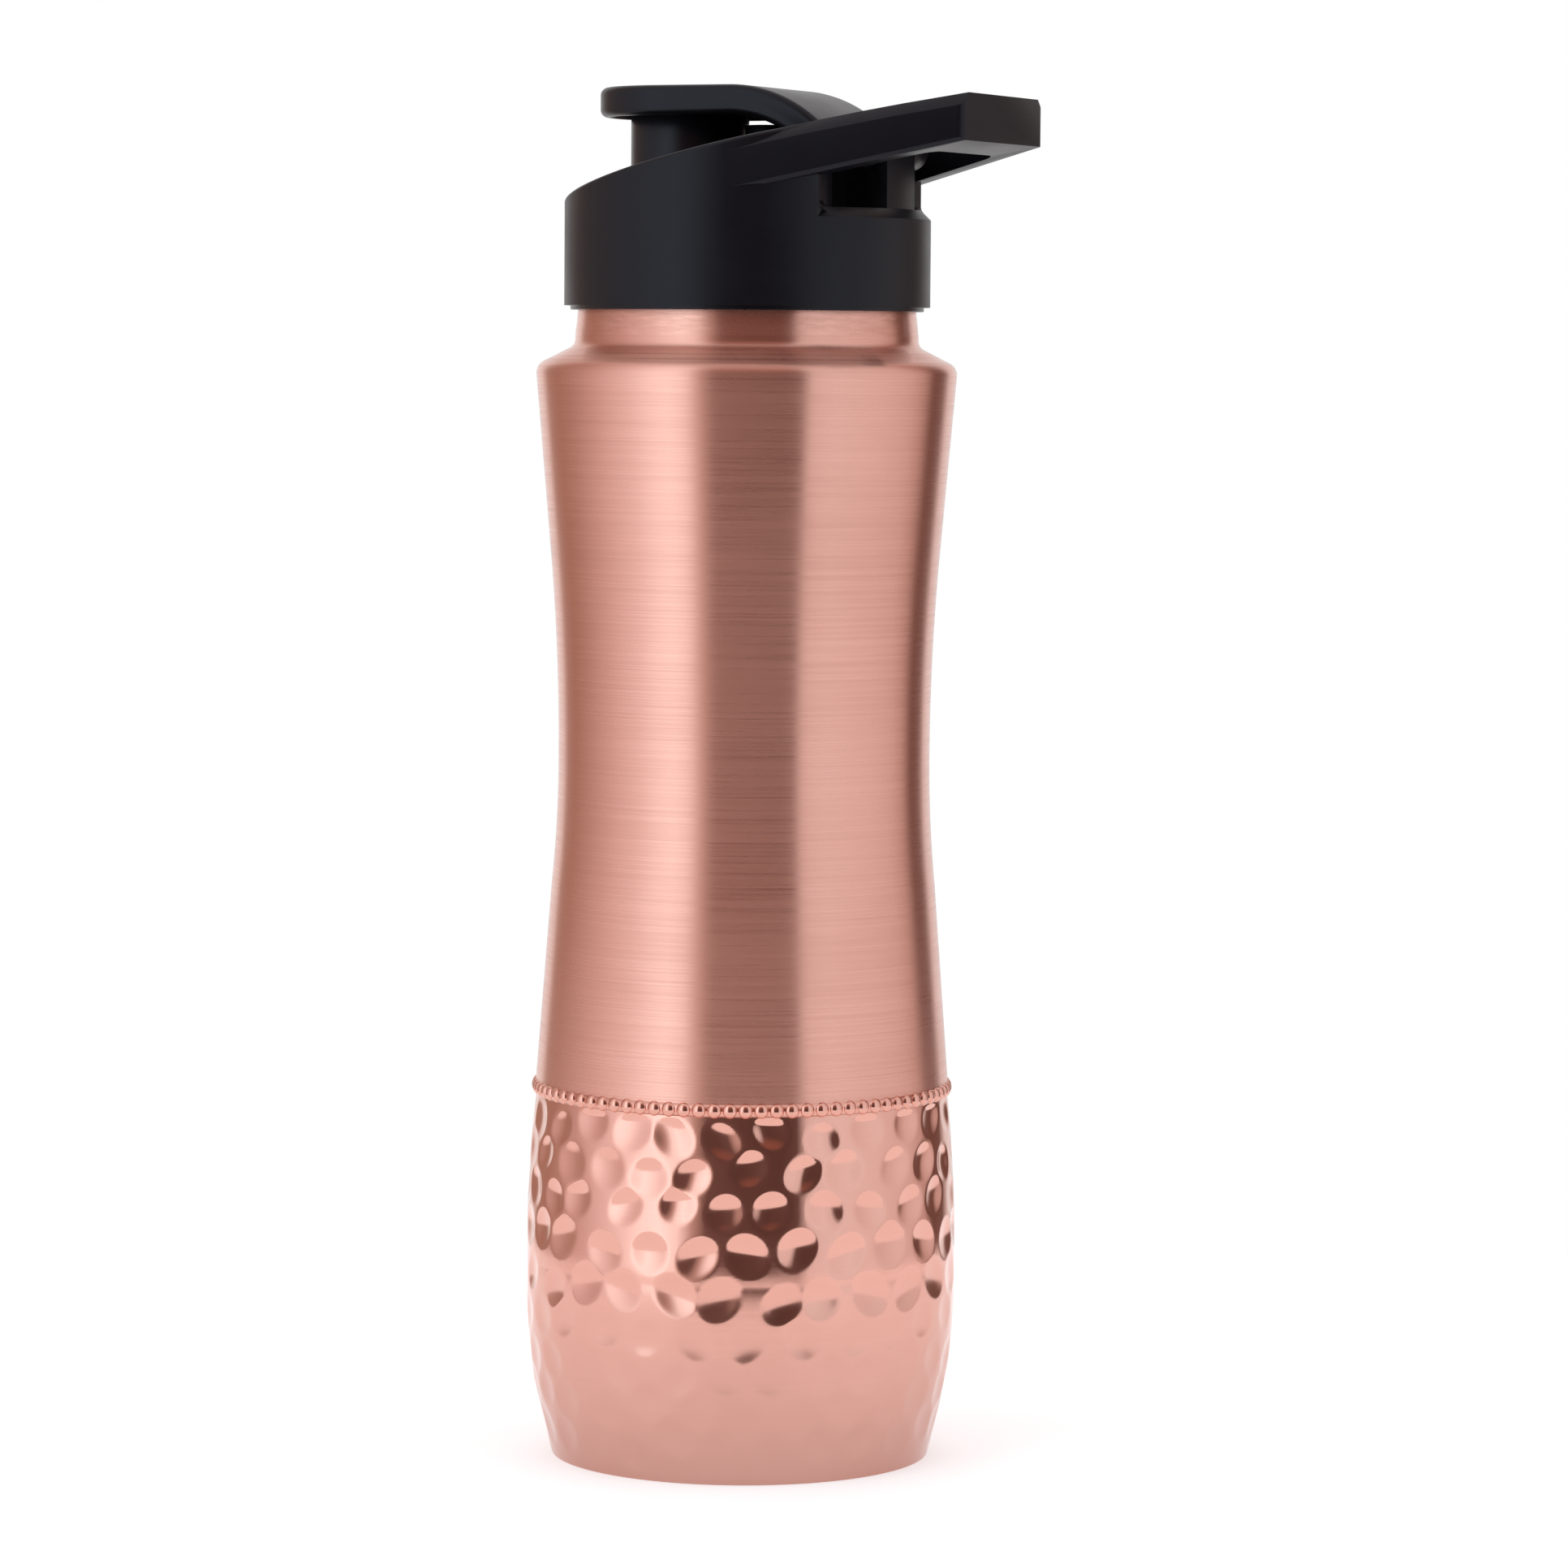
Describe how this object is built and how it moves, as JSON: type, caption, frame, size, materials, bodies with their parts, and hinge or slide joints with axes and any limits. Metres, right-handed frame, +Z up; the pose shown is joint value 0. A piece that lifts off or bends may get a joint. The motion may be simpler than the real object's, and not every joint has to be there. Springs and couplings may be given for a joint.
{
  "type": "copper water bottle",
  "caption": "Waisted copper water bottle with a hammered lower cup, a beaded seam and a black screw cap with carry loop, drinking spout and flip lid.",
  "frame": {"origin": "centre of the flat base, on the surface the bottle stands on", "axes": "+Z up along the bottle's axis, +X the way the carry loop points, +Y completes a right-handed frame, along the lid's hinge"},
  "size_m": [0.0915, 0.0804, 0.2551],
  "materials": {
    "brushed_copper": "satin, brushed around the body",
    "neck_copper": "satin, brushed on the slant",
    "hammered_copper": "polished, hammered in rows of round facets",
    "bead_copper": "polished beads",
    "base_copper": "satin",
    "silicone": "matt, translucent white",
    "liner_plastic": "fine moulded",
    "black_plastic": "fine moulded, soft sheen",
    "lid_plastic": "fine moulded, soft sheen",
    "pin_steel": "drawn wire"
  },
  "bodies": {
    "bottle": {"upper_shell": "brushed_copper", "threaded_neck": "neck_copper", "lower_cup": "hammered_copper", "bead_band": "bead_copper", "base_disc": "base_copper"},
    "seal": {"mouth_gasket": "silicone"},
    "cap": {"cap_liner": "liner_plastic", "cap_shell": "black_plastic", "hinge_pin": "pin_steel"},
    "lid": {"flip_lid": "lid_plastic", "spout_plug": "silicone"}
  },
  "joints": [
    {"name": "cap_lift", "type": "slide", "parent": "bottle", "child": "seal", "axis": [0, 0, 1], "range_m": [0, 0.006]},
    {"name": "cap_turn", "type": "hinge", "parent": "seal", "child": "cap", "pos_m": [0, 0, 0.22], "axis": [0, 0, 1], "range_deg": [0, 540]},
    {"name": "lid_flip", "type": "hinge", "parent": "cap", "child": "lid", "pos_m": [0.027, 0, 0.2436], "axis": [0, 1, 0], "range_deg": [0, 110]}
  ],
  "couplings": [
    {"joint": "cap_lift", "follows": "cap_turn", "m_per_rad": 0.00063662}
  ]
}
